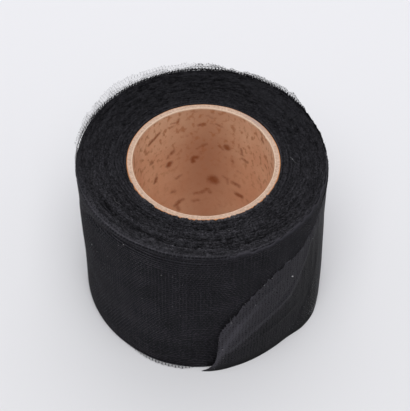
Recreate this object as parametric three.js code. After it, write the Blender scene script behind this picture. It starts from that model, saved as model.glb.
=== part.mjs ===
// A roll of net ribbon standing on end: a pasteboard tube, the wound net round it,
// and the outermost turn, which has worked loose and ends in a slanting cut.
// Millimetres, +Z up. The tube's axis is the Z axis and everything stands on Z = 0.
// Bearings are in degrees, counter-clockwise from +X seen from above, so the front is -90.

import * as THREE from 'three';

// Driving dimensions
const tubeBore = 76.2;
const tubeWall = 3.2;
const tubeHeight = 100.2;
const tubeBevel = 0.3;
const rollDiameter = 134;
const rollHeight = 101.4;
const ribbonWidth = 101;
const netThickness = 1.1;
const clearance = 0.35;
const looseSlack = 0.25;
const sectionsRound = 72;

// Heights and widths on the wound side
const footRound = 1;
const footHeight = 1.2;
const heelHeight = 10;
const kneeHeight = 28;
const waistHeight = 60;
const creaseWidth = 5;
const lipHeight = rollHeight - 1.8;
const rimDrop = 0.4;

// The wound side, by bearing. Each value but the crease's height is a distance from the
// winding radius: foot, knee, waist and lip stand out, depth is how far the crease goes in,
// and rim is how far the top edge is drawn towards the axis.
const woundShape = [
  { at: -180, foot: 0.6, knee: 0.4, waist: 1.2, crease: 74, depth: 0.0, lip: 1.2, rim: 1.0 },
  { at: -165, foot: 0.7, knee: 0.3, waist: 1.1, crease: 80, depth: 0.6, lip: 1.1, rim: 1.5 },
  { at: -150, foot: 0.8, knee: 0.2, waist: 0.9, crease: 91, depth: 1.3, lip: 0.8, rim: 2.2 },
  { at: -130, foot: 0.9, knee: 0.4, waist: 0.5, crease: 96, depth: 1.4, lip: 0.2, rim: 2.9 },
  { at: -110, foot: 1.6, knee: 0.8, waist: 0.3, crease: 97, depth: 1.0, lip: -0.5, rim: 2.9 },
  { at: -95, foot: 1.4, knee: 0.8, waist: 0.3, crease: 97, depth: 0.7, lip: -0.8, rim: 2.6 },
  { at: -75, foot: 0.2, knee: 0.2, waist: 0.0, crease: 96, depth: 0.4, lip: -0.7, rim: 2.5 },
  { at: -50, foot: -0.6, knee: -0.6, waist: -0.7, crease: 93, depth: 0.2, lip: -0.9, rim: 2.2 },
  { at: -30, foot: -1.4, knee: -1.4, waist: -1.4, crease: 90, depth: 0.0, lip: -1.3, rim: 1.9 },
  { at: 15, foot: -1.5, knee: -1.4, waist: -1.5, crease: 90, depth: 0.0, lip: -1.4, rim: 1.8 },
  { at: 70, foot: 0.2, knee: 0.3, waist: 0.2, crease: 88, depth: 0.0, lip: 0.2, rim: 0.6 },
  { at: 130, foot: 0.4, knee: 0.5, waist: 0.4, crease: 84, depth: 0.0, lip: 0.4, rim: 0.3 },
  { at: 172.5, foot: 0.4, knee: 0.3, waist: 0.4, crease: 76, depth: 0.0, lip: 0.4, rim: 0.8 },
  { at: 180, foot: 0.6, knee: 0.4, waist: 1.2, crease: 74, depth: 0.0, lip: 1.2, rim: 1.0 },
];

// The upper end of the winding, from the tube out to the rim: how far out each ring lies
// as a share of the winding, and how far it lies below the top of the roll.
const windingRings = [
  { share: 0.0, below: 1.9 },
  { share: 0.14, below: 1.0 },
  { share: 0.22, below: 1.5 },
  { share: 0.38, below: 0.4 },
  { share: 0.46, below: 0.9 },
  { share: 0.64, below: 0.1 },
  { share: 0.71, below: 0.6 },
  { share: 0.88, below: 0.0 },
];

// The loose turn, from where it leaves the roll, round the back, to the tip at the front.
// Each row joins a point of the upper edge to a point of the lower edge, and the last rows
// of the upper edge run down the slanting cut. The out values are how far the net stands off
// the winding radius: at the upper edge, at a third and two thirds of the way down, and at
// the lower edge.
const looseTurn = [
  { topAt: 174, top: 104.4, footAt: 174, out: [0.6, 0.4, 0.4, 0.4] },
  { topAt: 166, top: 105.6, footAt: 166, out: [0.6, 0.4, 0.4, 0.4] },
  { topAt: 153, top: 107.6, footAt: 153, out: [0.7, 0.5, 0.4, 0.5] },
  { topAt: 139, top: 108.8, footAt: 139, out: [0.7, 0.5, 0.5, 0.6] },
  { topAt: 120, top: 107.2, footAt: 120, out: [0.6, 0.5, 0.5, 0.5] },
  { topAt: 98, top: 105.8, footAt: 98, out: [0.6, 0.5, 0.4, 0.4] },
  { topAt: 86, top: 104.6, footAt: 86, out: [0.5, 0.4, 0.4, 0.3] },
  { topAt: 77, top: 102.2, footAt: 77, out: [0.3, 0.4, 0.3, 0.3] },
  { topAt: 62, top: 104.0, footAt: 62, out: [0.0, 0.1, 0.1, 0.1] },
  { topAt: 50, top: 102.4, footAt: 50, out: [-0.5, -0.4, -0.3, 0.0] },
  { topAt: 30, top: 101.4, footAt: 32, out: [-1.2, -1.1, -0.8, 0.2] },
  { topAt: 12, top: 99.8, footAt: 14, out: [-1.4, -1.2, 0.2, 1.4] },
  { topAt: -4, top: 98.8, footAt: -4, out: [-1.3, -0.6, 1.2, 2.2] },
  { topAt: -17, top: 96.0, footAt: -16, out: [-1.3, -0.4, 1.4, 2.7] },
  { topAt: -26.5, top: 86.2, footAt: -25, out: [-1.3, -0.5, 1.2, 3.4] },
  { topAt: -39.5, top: 79.4, footAt: -34, out: [-1.1, -0.7, 0.4, 2.4] },
  { topAt: -51, top: 76.3, footAt: -43, out: [-0.9, -0.6, 0.0, 0.2] },
  { topAt: -61, top: 69.8, footAt: -54, out: [-0.6, -0.2, 0.1, 0.0] },
  { topAt: -69, top: 59.6, footAt: -64, out: [-0.1, 0.4, 0.7, 0.5] },
  { topAt: -76.4, top: 47.1, footAt: -73, out: [0.8, 1.3, 1.5, 1.2] },
  { topAt: -80.7, top: 39.4, footAt: -78, out: [1.6, 2.1, 2.1, 1.8] },
  { topAt: -81.8, top: 29.2, footAt: -82, out: [2.2, 2.5, 2.5, 2.2] },
  { topAt: -82, top: 14.7, footAt: -86, out: [2.7, 2.8, 2.6, 2.3] },
  { topAt: -84, top: 4.0, footAt: -89.3, out: [2.6, 2.5, 2.4, 2.2] },
];
const stepsBetweenRows = 3;
const rowsDown = 8;

// Colours of the real thing
const netBlack = new THREE.MeshStandardMaterial({ color: 0x26252a, roughness: 0.9, metalness: 0 });
const looseNet = new THREE.MeshStandardMaterial({ color: 0x2e2e33, roughness: 0.85, metalness: 0 });
const pasteboard = new THREE.MeshStandardMaterial({ color: 0xa87a5c, roughness: 0.95, metalness: 0 });

const tubeRadius = tubeBore / 2 + tubeWall;
const windingInside = tubeRadius + clearance;
const windingRadius = rollDiameter / 2;

// Interpolation of a table's row by bearing, eased so the sections turn smoothly
function rowAt(rows, bearing) {
  let next = rows.findIndex((row) => row.at >= bearing);
  if (next < 1) next = 1;
  const before = rows[next - 1];
  const after = rows[next];
  const share = THREE.MathUtils.smoothstep(bearing, before.at, after.at);
  const row = {};
  for (const column of Object.keys(before)) {
    row[column] = THREE.MathUtils.lerp(before[column], after[column], share);
  }
  return row;
}

function polar(radius, bearing, height) {
  const angle = THREE.MathUtils.degToRad(bearing);
  return new THREE.Vector3(radius * Math.cos(angle), radius * Math.sin(angle), height);
}

// A closed body from a row of closed sections with the same number of points. The last
// section joins the first when it goes all the way round, and otherwise both ends are closed.
function loftedBody(sections, goesRound) {
  const perSection = sections[0].length;
  const points = sections.flat();
  const faces = [];
  const quad = (a, b, c, d) => faces.push(a, b, c, a, c, d);
  const spans = goesRound ? sections.length : sections.length - 1;
  for (let s = 0; s < spans; s += 1) {
    const here = s * perSection;
    const there = ((s + 1) % sections.length) * perSection;
    for (let p = 0; p < perSection; p += 1) {
      const q = (p + 1) % perSection;
      quad(here + p, there + p, there + q, here + q);
    }
  }
  if (!goesRound) {
    const last = (sections.length - 1) * perSection;
    for (let p = 0; p < perSection / 2 - 1; p += 1) {
      const far = perSection - 1 - p;
      quad(p, p + 1, far - 1, far);
      quad(last + far, last + far - 1, last + p + 1, last + p);
    }
  }
  const body = new THREE.BufferGeometry().setFromPoints(points);
  body.setIndex(faces);
  body.computeVertexNormals();
  return body;
}

// The tube: a ring with lightly bevelled edges
function tubeSection(bearing) {
  const inside = tubeBore / 2;
  return [
    polar(inside, bearing, tubeBevel),
    polar(inside + tubeBevel, bearing, 0),
    polar(tubeRadius - tubeBevel, bearing, 0),
    polar(tubeRadius, bearing, tubeBevel),
    polar(tubeRadius, bearing, tubeHeight - tubeBevel),
    polar(tubeRadius - tubeBevel, bearing, tubeHeight),
    polar(inside + tubeBevel, bearing, tubeHeight),
    polar(inside, bearing, tubeHeight - tubeBevel),
  ];
}

// The winding: a flat foot, a side that swells and creases, a rim drawn in, and an upper
// end of shallow rings that sinks towards the tube
function windingSection(bearing) {
  const shape = rowAt(woundShape, bearing);
  const side = (out, height) => polar(windingRadius + out, bearing, height);
  const rimRadius = windingRadius - shape.rim;
  const beforeCrease = THREE.MathUtils.lerp(shape.waist, shape.lip, 0.5);
  const frontShare = (1 - Math.sin(THREE.MathUtils.degToRad(bearing))) / 2;
  const ringDepth = THREE.MathUtils.lerp(0.6, 1, frontShare);
  const section = [
    polar(windingInside, bearing, 0),
    side(shape.foot - footRound, 0),
    side(shape.foot, footHeight),
    side(THREE.MathUtils.lerp(shape.foot, shape.knee, 0.2), heelHeight),
    side(shape.knee, kneeHeight),
    side((shape.knee + shape.waist) / 2, (kneeHeight + waistHeight) / 2),
    side(shape.waist, waistHeight),
    side(beforeCrease, shape.crease - creaseWidth),
    side(beforeCrease - shape.depth, shape.crease),
    side(shape.lip, lipHeight),
    side(THREE.MathUtils.lerp(shape.lip, -shape.rim, 0.4), rollHeight - 2 * rimDrop),
    polar(rimRadius, bearing, rollHeight - rimDrop / 2),
  ];
  for (const ring of [...windingRings].reverse()) {
    const radius = THREE.MathUtils.lerp(windingInside, rimRadius, ring.share);
    section.push(polar(radius, bearing, rollHeight - ring.below * ringDepth));
  }
  return section;
}

// A smooth curve through a table column, read at any place between its rows
function columnCurve(values) {
  const knots = values.map((value, row) => new THREE.Vector2(row, value));
  const curve = new THREE.SplineCurve(knots);
  return (place) => curve.getPoint(place / (values.length - 1)).y;
}

// The loose turn: at each place along it one closed section, down its outer face and up
// its inner face
function looseSections() {
  const topAt = columnCurve(looseTurn.map((row) => row.topAt));
  const top = columnCurve(looseTurn.map((row) => row.top));
  const footAt = columnCurve(looseTurn.map((row) => row.footAt));
  const outs = [0, 1, 2, 3].map((level) => columnCurve(looseTurn.map((row) => row.out[level])));
  const innerRadius = windingRadius + clearance + looseSlack;
  const sections = [];
  const steps = (looseTurn.length - 1) * stepsBetweenRows;
  for (let step = 0; step <= steps; step += 1) {
    const place = step / stepsBetweenRows;
    const upper = top(place);
    const lower = Math.max(0, upper - ribbonWidth);
    const standOff = columnCurve(outs.map((out) => out(place)));
    const outer = [];
    const inner = [];
    for (let level = 0; level <= rowsDown; level += 1) {
      const share = level / rowsDown;
      const bearing = THREE.MathUtils.lerp(topAt(place), footAt(place), share);
      const height = THREE.MathUtils.lerp(upper, lower, share);
      const radius = innerRadius + standOff(share * (outs.length - 1));
      outer.push(polar(radius + netThickness, bearing, height));
      inner.push(polar(radius, bearing, height));
    }
    sections.push([...outer, ...inner.reverse()]);
  }
  return sections;
}

function roundSections(sectionAt) {
  const sections = [];
  for (let s = 0; s < sectionsRound; s += 1) {
    sections.push(sectionAt(-180 + (360 * s) / sectionsRound));
  }
  return sections;
}

function namedMesh(name, geometry, material) {
  const mesh = new THREE.Mesh(geometry, material);
  mesh.name = name;
  return mesh;
}

const roll = new THREE.Group();
roll.add(namedMesh('core_tube', loftedBody(roundSections(tubeSection), true), pasteboard));
roll.add(namedMesh('wound_net', loftedBody(roundSections(windingSection), true), netBlack));
roll.add(namedMesh('loose_turn', loftedBody(looseSections(), false), looseNet));

export default roll;
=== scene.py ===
import math

import bpy
import numpy as np
from mathutils import Matrix, Vector


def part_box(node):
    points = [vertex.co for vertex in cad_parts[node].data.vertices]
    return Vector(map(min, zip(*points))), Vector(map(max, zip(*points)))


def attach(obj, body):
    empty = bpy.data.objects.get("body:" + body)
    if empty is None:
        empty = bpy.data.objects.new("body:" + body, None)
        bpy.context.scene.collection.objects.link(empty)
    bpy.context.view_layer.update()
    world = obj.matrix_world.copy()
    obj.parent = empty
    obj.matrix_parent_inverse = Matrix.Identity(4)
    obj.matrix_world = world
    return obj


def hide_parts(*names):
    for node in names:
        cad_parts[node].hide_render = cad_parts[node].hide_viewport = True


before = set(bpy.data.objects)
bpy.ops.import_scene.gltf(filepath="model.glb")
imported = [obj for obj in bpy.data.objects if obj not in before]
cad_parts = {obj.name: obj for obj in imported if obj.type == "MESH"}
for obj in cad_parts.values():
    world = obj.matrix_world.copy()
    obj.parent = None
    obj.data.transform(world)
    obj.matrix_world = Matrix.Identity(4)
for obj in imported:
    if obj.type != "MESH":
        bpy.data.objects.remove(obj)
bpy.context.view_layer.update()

MM = 0.001
BODY = "root"

# Driving dimensions, as in the part's source
TUBE_BORE = 76.2
TUBE_WALL = 3.2
TUBE_BEVEL = 0.3
ROLL_DIAMETER = 134
RIBBON_WIDTH = 101
NET_THICKNESS = 1.1
CLEARANCE = 0.35
LOOSE_SLACK = 0.25
FOOT_ROUND = 1
FOOT_HEIGHT = 1.2
HEEL_HEIGHT = 10
KNEE_HEIGHT = 28
WAIST_HEIGHT = 60
CREASE_WIDTH = 5
LIP_BELOW_TOP = 1.8
RIM_DROP = 0.4

TUBE_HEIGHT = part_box("core_tube")[1].z / MM
ROLL_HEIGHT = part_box("wound_net")[1].z / MM
TUBE_INSIDE = TUBE_BORE / 2
TUBE_OUTSIDE = TUBE_INSIDE + TUBE_WALL
WINDING_INSIDE = TUBE_OUTSIDE + CLEARANCE
WINDING_RADIUS = ROLL_DIAMETER / 2
LIP_HEIGHT = ROLL_HEIGHT - LIP_BELOW_TOP

# The wound side by bearing: distances from the winding radius, the crease's height, and how
# far the rim is drawn towards the axis
WOUND_COLUMNS = ("at", "foot", "knee", "waist", "crease", "depth", "lip", "rim")
WOUND_SHAPE = [
    (-180, 0.6, 0.4, 1.2, 74, 0.0, 1.2, 1.0),
    (-165, 0.7, 0.3, 1.1, 80, 0.6, 1.1, 1.5),
    (-150, 0.8, 0.2, 0.9, 91, 1.3, 0.8, 2.2),
    (-130, 0.9, 0.4, 0.5, 96, 1.4, 0.2, 2.9),
    (-110, 1.6, 0.8, 0.3, 97, 1.0, -0.5, 2.9),
    (-95, 1.4, 0.8, 0.3, 97, 0.7, -0.8, 2.6),
    (-75, 0.2, 0.2, 0.0, 96, 0.4, -0.7, 2.5),
    (-50, -0.6, -0.6, -0.7, 93, 0.2, -0.9, 2.2),
    (-30, -1.4, -1.4, -1.4, 90, 0.0, -1.3, 1.9),
    (15, -1.5, -1.4, -1.5, 90, 0.0, -1.4, 1.8),
    (70, 0.2, 0.3, 0.2, 88, 0.0, 0.2, 0.6),
    (130, 0.4, 0.5, 0.4, 84, 0.0, 0.4, 0.3),
    (172.5, 0.4, 0.3, 0.4, 76, 0.0, 0.4, 0.8),
    (180, 0.6, 0.4, 1.2, 74, 0.0, 1.2, 1.0),
]

# The upper end of the winding, from the tube out: a share of the winding, and how far below
# the roll's top the ring lies
WINDING_RINGS = [
    (0.0, 1.9), (0.14, 1.0), (0.22, 1.5), (0.38, 0.4), (0.46, 0.9), (0.64, 0.1), (0.71, 0.6), (0.88, 0.0),
]

# The loose turn from where it leaves the roll to the tip: bearing and height of the upper edge,
# bearing of the lower edge, and the stand-off at four levels from the upper edge down
LOOSE_TURN = [
    (174, 104.4, 174, 0.6, 0.4, 0.4, 0.4),
    (166, 105.6, 166, 0.6, 0.4, 0.4, 0.4),
    (153, 107.6, 153, 0.7, 0.5, 0.4, 0.5),
    (139, 108.8, 139, 0.7, 0.5, 0.5, 0.6),
    (120, 107.2, 120, 0.6, 0.5, 0.5, 0.5),
    (98, 105.8, 98, 0.6, 0.5, 0.4, 0.4),
    (86, 104.6, 86, 0.5, 0.4, 0.4, 0.3),
    (77, 102.2, 77, 0.3, 0.4, 0.3, 0.3),
    (62, 104.0, 62, 0.0, 0.1, 0.1, 0.1),
    (50, 102.4, 50, -0.5, -0.4, -0.3, 0.0),
    (30, 101.4, 32, -1.2, -1.1, -0.8, 0.2),
    (12, 99.8, 14, -1.4, -1.2, 0.2, 1.4),
    (-4, 98.8, -4, -1.3, -0.6, 1.2, 2.2),
    (-17, 96.0, -16, -1.3, -0.4, 1.4, 2.7),
    (-26.5, 86.2, -25, -1.3, -0.5, 1.2, 3.4),
    (-39.5, 79.4, -34, -1.1, -0.7, 0.4, 2.4),
    (-51, 76.3, -43, -0.9, -0.6, 0.0, 0.2),
    (-61, 69.8, -54, -0.6, -0.2, 0.1, 0.0),
    (-69, 59.6, -64, -0.1, 0.4, 0.7, 0.5),
    (-76.4, 47.1, -73, 0.8, 1.3, 1.5, 1.2),
    (-80.7, 39.4, -78, 1.6, 2.1, 2.1, 1.8),
    (-81.8, 29.2, -82, 2.2, 2.5, 2.5, 2.2),
    (-82, 14.7, -86, 2.7, 2.8, 2.6, 2.3),
    (-84, 4.0, -89.3, 2.6, 2.5, 2.4, 2.2),
]
LEAVES_AT = LOOSE_TURN[0][0]


# Curves and fields

def spline(knots, places):
    """A smooth curve through the knots, read at places from 0 to the last knot's number."""
    knots = np.asarray(knots, float)
    places = np.asarray(places, float)
    last = len(knots) - 1
    span = np.minimum(places.astype(int), last - 1)
    share = (places - span).reshape(-1, *[1] * (knots.ndim - 1))
    before, start = knots[np.maximum(span - 1, 0)], knots[span]
    end, after = knots[span + 1], knots[np.minimum(span + 2, last)]
    leaving, arriving = (end - before) / 2, (after - start) / 2
    return (
        (2 * start - 2 * end + leaving + arriving) * share**3
        + (3 * end - 3 * start - 2 * leaving - arriving) * share**2
        + leaving * share
        + start
    )


def smooth(low, high, value):
    """0 at low, 1 at high, and eased between them."""
    share = np.clip((value - low) / (high - low), 0, 1)
    return share * share * (3 - 2 * share)


def hump(value, middle, half_width):
    """1 at the middle, falling softly to almost nothing about two half widths away."""
    return np.exp(-(((value - middle) / half_width) ** 2))


def turned(bearing, other):
    """The angle from other to bearing, from -180 to 180."""
    return (bearing - other + 180) % 360 - 180


def facing(bearing):
    """1 at the front of the roll and 0 at the back."""
    return (1 - np.sin(np.radians(bearing))) / 2


def grain(shape, lengths, seed):
    """A random field without a seam, smoothed over lengths in steps, with a spread of 1."""
    field = np.random.default_rng(seed).standard_normal(shape)
    down = np.fft.fftfreq(shape[0])[:, None] * lengths[0]
    along = np.fft.rfftfreq(shape[1])[None, :] * lengths[1]
    spectrum = np.fft.rfft2(field) * np.exp(-2 * (math.pi * down) ** 2 - 2 * (math.pi * along) ** 2)
    field = np.fft.irfft2(spectrum, s=shape)
    return field / field.std()


def polar(radius, bearing, height):
    """Points in millimetres from a radius, a bearing and a height."""
    angle = np.radians(bearing)
    return np.stack(np.broadcast_arrays(radius * np.cos(angle), radius * np.sin(angle), height), axis=-1)


def path_length(radius, height):
    """The length along each row of points, from its first."""
    stride = np.hypot(np.diff(radius, axis=1), np.diff(height, axis=1))
    return np.concatenate([np.zeros((len(radius), 1)), np.cumsum(stride, axis=1)], axis=1)


def read_along(places, length, values):
    """Values given by the length along each row, read at places along it."""
    return np.array([np.interp(*row) for row in zip(places, length, values)])


def off_line(bearing, height, line, around=ROLL_DIAMETER / 2):
    """Distance from a straight line on the unrolled side, and the share of the way along it."""
    start_at, start, end_at, end = line
    per_degree = math.radians(around)
    run, climb = turned(end_at, start_at) * per_degree, end - start
    across, up = turned(bearing, start_at) * per_degree, height - start
    along = np.clip((across * run + up * climb) / max(run**2 + climb**2, 0.01), 0, 1)
    return np.hypot(across - along * run, up - along * climb), along


def placed(name, data):
    """A new object in the scene."""
    made = bpy.data.objects.new(name, data)
    bpy.context.scene.collection.objects.link(made)
    return made


# Pieces

NET_UV = "net_mm"


def mesh_piece(name, points, faces, material, corner_uv=None, marks=None):
    """A piece on the roll's body, from points in millimetres. marks are named values by point."""
    mesh = bpy.data.meshes.new(name)
    mesh.from_pydata((np.asarray(points, float).reshape(-1, 3) * MM).tolist(), [], faces.tolist())
    if corner_uv is not None:
        layer = mesh.uv_layers.new(name=NET_UV)
        layer.data.foreach_set("uv", np.asarray(corner_uv, np.float32).ravel())
    for mark, values in (marks or {}).items():
        field = mesh.attributes.new(mark, "FLOAT", "POINT")
        values = np.broadcast_to(values, np.shape(points)[:-1]).astype(np.float32)
        field.data.foreach_set("value", values.ravel())
    mesh.polygons.foreach_set("use_smooth", [True] * len(mesh.polygons))
    mesh.materials.append(material)
    mesh.validate()
    piece = placed(name, mesh)
    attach(piece, BODY)
    return piece


def grid_faces(rows, columns, rows_close=False, columns_close=False):
    """Quads over a grid of points, and for each face corner its row and column, counted on
    past the last where the grid closes on itself."""
    row, column = np.meshgrid(
        np.arange(rows if rows_close else rows - 1),
        np.arange(columns if columns_close else columns - 1),
        indexing="ij",
    )
    corner_row = np.stack([row, row + 1, row + 1, row], axis=-1).reshape(-1, 4)
    corner_column = np.stack([column, column, column + 1, column + 1], axis=-1).reshape(-1, 4)
    faces = (corner_row % rows) * columns + corner_column % columns
    return faces, corner_row, corner_column


# Node graphs

class Graph:
    """Adds nodes to a tree. An input given as an output socket is linked, and a value is set."""

    def __init__(self, tree):
        self.tree = tree

    def add(self, kind, inputs, output=0, **settings):
        node = self.tree.nodes.new(kind)
        for name, value in settings.items():
            setattr(node, name, value)
        for name, value in inputs.items():
            if isinstance(value, bpy.types.NodeSocket):
                self.tree.links.new(value, node.inputs[name])
            else:
                node.inputs[name].default_value = value
        return node.outputs[output] if node.outputs else None

    def math(self, operation, first, second=0.0):
        return self.add("ShaderNodeMath", {0: first, 1: second}, operation=operation)

    def plus(self, first, second):
        return self.math("ADD", first, second)

    def minus(self, first, second):
        return self.math("SUBTRACT", first, second)

    def times(self, first, second):
        return self.math("MULTIPLY", first, second)

    def vector(self, operation, first, second=(0, 0, 0)):
        output = "Value" if operation in ("LENGTH", "DOT_PRODUCT") else "Vector"
        return self.add("ShaderNodeVectorMath", {0: first, 1: second}, output, operation=operation)

    def wrapped(self, vector, size):
        """The vector's remainder in a box of that size, whose lowest corner is the origin."""
        sockets = {0: vector, 1: size, 2: (0, 0, 0)}
        return self.add("ShaderNodeVectorMath", sockets, "Vector", operation="WRAP")

    def scaled(self, vector, factor):
        return self.add("ShaderNodeVectorMath", {0: vector, "Scale": factor}, "Vector", operation="SCALE")

    def ramp(self, value, low, high, at_low=0.0, at_high=1.0):
        sockets = {"Value": value, "From Min": low, "From Max": high, "To Min": at_low, "To Max": at_high}
        return self.add("ShaderNodeMapRange", sockets, interpolation_type="SMOOTHSTEP")

    def blend(self, share, first, second):
        return self.add("ShaderNodeMix", {0: share, 6: first, 7: second}, 2, data_type="RGBA")

    def between(self, share, first, second):
        return self.add("ShaderNodeMix", {0: share, 2: first, 3: second}, 0, data_type="FLOAT")

    def noise(self, place, scale, detail=2.0, roughness=0.5):
        """Noise at a scale, which may differ along the place's three directions."""
        if isinstance(scale, tuple):
            place, scale = self.vector("MULTIPLY", place, scale), 1.0
        sockets = {"Vector": place, "Scale": scale, "Detail": detail, "Roughness": roughness}
        return self.add("ShaderNodeTexNoise", sockets, "Fac")

    def drift(self, place, scale, reach):
        """A soft random shift of up to about half of reach each way."""
        colour = self.add("ShaderNodeTexNoise", {"Vector": place, "Scale": scale, "Detail": 1.0}, "Color")
        return self.scaled(self.vector("SUBTRACT", colour, (0.5, 0.5, 0.5)), reach)

    def relief(self, height, strength, distance):
        sockets = {"Height": height, "Strength": strength, "Distance": distance * MM}
        return self.add("ShaderNodeBump", sockets)

    def mark(self, name):
        return self.add("ShaderNodeAttribute", {}, "Fac", attribute_name=name)

    def net_place(self):
        return self.add("ShaderNodeUVMap", {}, uv_map=NET_UV)

    def solid_place(self):
        return self.add("ShaderNodeTexCoord", {}, "Object")


def rgb(red, green, blue):
    return (red, green, blue, 1.0)


def finished(name, paint, roughness, specular, **fixed):
    """A material whose paint function returns the linked inputs of its shader by name."""
    material = bpy.data.materials.new(name)
    material.use_nodes = True
    tree = material.node_tree
    tree.nodes.clear()
    graph = Graph(tree)
    inputs = {"Roughness": roughness, "Specular IOR Level": specular, **fixed, **paint(graph)}
    shader = graph.add("ShaderNodeBsdfPrincipled", inputs)
    graph.add("ShaderNodeOutputMaterial", {"Surface": shader})
    return material


def net_group(name, results, build):
    """A node group for the strands of a net. Pitch is the width of a mesh, Rise the step between
    rows and Strand the width of a strand, all in the place's own unit. Stagger, from 0 to 1,
    sets every other row over by up to half a mesh, where the net has rows."""
    group = bpy.data.node_groups.new(name, "ShaderNodeTree")
    group.interface.new_socket("Place", in_out="INPUT", socket_type="NodeSocketVector")
    for number in ("Pitch", "Rise", "Strand", "Stagger"):
        group.interface.new_socket(number, in_out="INPUT", socket_type="NodeSocketFloat")
    for result in results:
        group.interface.new_socket(result, in_out="OUTPUT", socket_type="NodeSocketFloat")
    values = build(Graph(group), group.nodes.new("NodeGroupInput").outputs)
    output = group.nodes.new("NodeGroupOutput")
    for result, value in zip(results, values):
        group.links.new(value, output.inputs[result])
    return group


def six_sided(graph, given):
    """A mesh is the part of a cell that is nearer to its own middle than to the next one's."""
    row_step = math.sqrt(3) / 2
    unit_rise = graph.math("DIVIDE", given["Rise"], row_step)
    unit = graph.add("ShaderNodeCombineXYZ", {"X": given["Pitch"], "Y": unit_rise, "Z": 1.0})
    place = graph.vector("DIVIDE", given["Place"], unit)
    cell = (1.0, 2 * row_step, 1.0)
    centre = (0.5, row_step, 0.5)
    starts = (place, graph.vector("ADD", place, centre))
    cells = (graph.vector("SUBTRACT", graph.wrapped(start, cell), centre) for start in starts)
    one, other = (graph.vector("MULTIPLY", from_middle, (1.0, 1.0, 0.0)) for from_middle in cells)
    nearer = graph.math("LESS_THAN", graph.vector("LENGTH", other), graph.vector("LENGTH", one))
    from_centre = graph.add("ShaderNodeMix", {0: nearer, 4: one, 5: other}, 1, data_type="VECTOR")
    from_centre = graph.vector("ABSOLUTE", from_centre)
    to_side = graph.vector("DOT_PRODUCT", from_centre, (1.0, 0.0, 0.0))
    to_slant = graph.vector("DOT_PRODUCT", from_centre, (0.5, row_step, 0.0))
    half_strand = graph.math("DIVIDE", graph.times(given["Strand"], 0.5), given["Pitch"])
    reach = graph.math("MAXIMUM", graph.plus(to_side, graph.times(half_strand, 0.5)), to_slant)
    edge = graph.minus(0.5, half_strand)
    soft = graph.times(half_strand, 0.5)
    return [graph.ramp(reach, graph.minus(edge, soft), graph.plus(edge, soft))]


def in_rows(graph, given):
    """Rib is 1 along the upright strands."""
    unit = graph.add("ShaderNodeCombineXYZ", {"X": given["Pitch"], "Y": given["Rise"], "Z": 1.0})
    place = graph.vector("DIVIDE", given["Place"], unit)
    row = graph.math("FLOOR", graph.vector("DOT_PRODUCT", place, (0.0, 1.0, 0.0)))
    odd = graph.math("FLOORED_MODULO", row, 2.0)
    shift = graph.times(graph.times(odd, 0.5), given["Stagger"])
    place = graph.vector("ADD", place, graph.add("ShaderNodeCombineXYZ", {"X": shift}))
    from_centre = graph.vector("SUBTRACT", graph.vector("FRACTION", place), (0.5, 0.5, 0.5))
    from_centre = graph.vector("MULTIPLY", graph.vector("ABSOLUTE", from_centre), unit)
    gap = graph.vector("SUBTRACT", graph.scaled(unit, 0.5), from_centre)
    across = graph.vector("DOT_PRODUCT", gap, (1.0, 0.0, 0.0))
    up = graph.vector("DOT_PRODUCT", gap, (0.0, 1.0, 0.0))
    half = graph.times(given["Strand"], 0.5)
    open_across = graph.ramp(across, graph.times(half, 0.5), graph.times(half, 1.4))
    open_up = graph.ramp(up, graph.times(half, 0.7), graph.times(half, 1.7))
    return [graph.minus(1.0, graph.times(open_across, open_up)), graph.minus(1.0, open_across)]


HEX_NET = net_group("hex_net", ["Mask"], six_sided)
NET_ROWS = net_group("net_rows", ["Mask", "Rib"], in_rows)


def net(graph, group, place, pitch, rise, strand, stagger=0.0):
    """The results of a net's group at a place."""
    sockets = {"Place": place, "Pitch": pitch, "Rise": rise, "Strand": strand, "Stagger": stagger}
    return graph.add("ShaderNodeGroup", sockets, node_tree=group).node.outputs


# Materials

# A whole number of meshes across the roll's girth, so that the pattern closes on itself
GIRTH = 2 * math.pi * WINDING_RADIUS
MESHES_ROUND = 224
MESH_PITCH = GIRTH / MESHES_ROUND
MESH_RISE = 1.72
BLACK_HOLE = rgb(0.0045, 0.0045, 0.0058)
BLACK_STRAND = rgb(0.063, 0.061, 0.071)


def ring_place(graph, along, across):
    """Object coordinates stretched round the axis, for streaks that follow the turns."""
    place = graph.solid_place()
    flat = graph.vector("MULTIPLY", place, (1, 1, 0))
    radius = graph.vector("LENGTH", flat)
    lift = graph.add("ShaderNodeCombineXYZ", {"Z": graph.times(radius, across)})
    return graph.vector("ADD", graph.scaled(graph.vector("NORMALIZE", flat), along), lift)


def slack_rows(graph):
    """Where the meshes lie when the net is a little slack, and how far its rows are staggered:
    one above the other in places, and set over by half a mesh in others."""
    solid = graph.solid_place()
    shifted = graph.vector("ADD", graph.net_place(), graph.drift(solid, 28, 0.9))
    return shifted, graph.ramp(graph.noise(solid, 38, 1.0), 0.42, 0.56)


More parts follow.
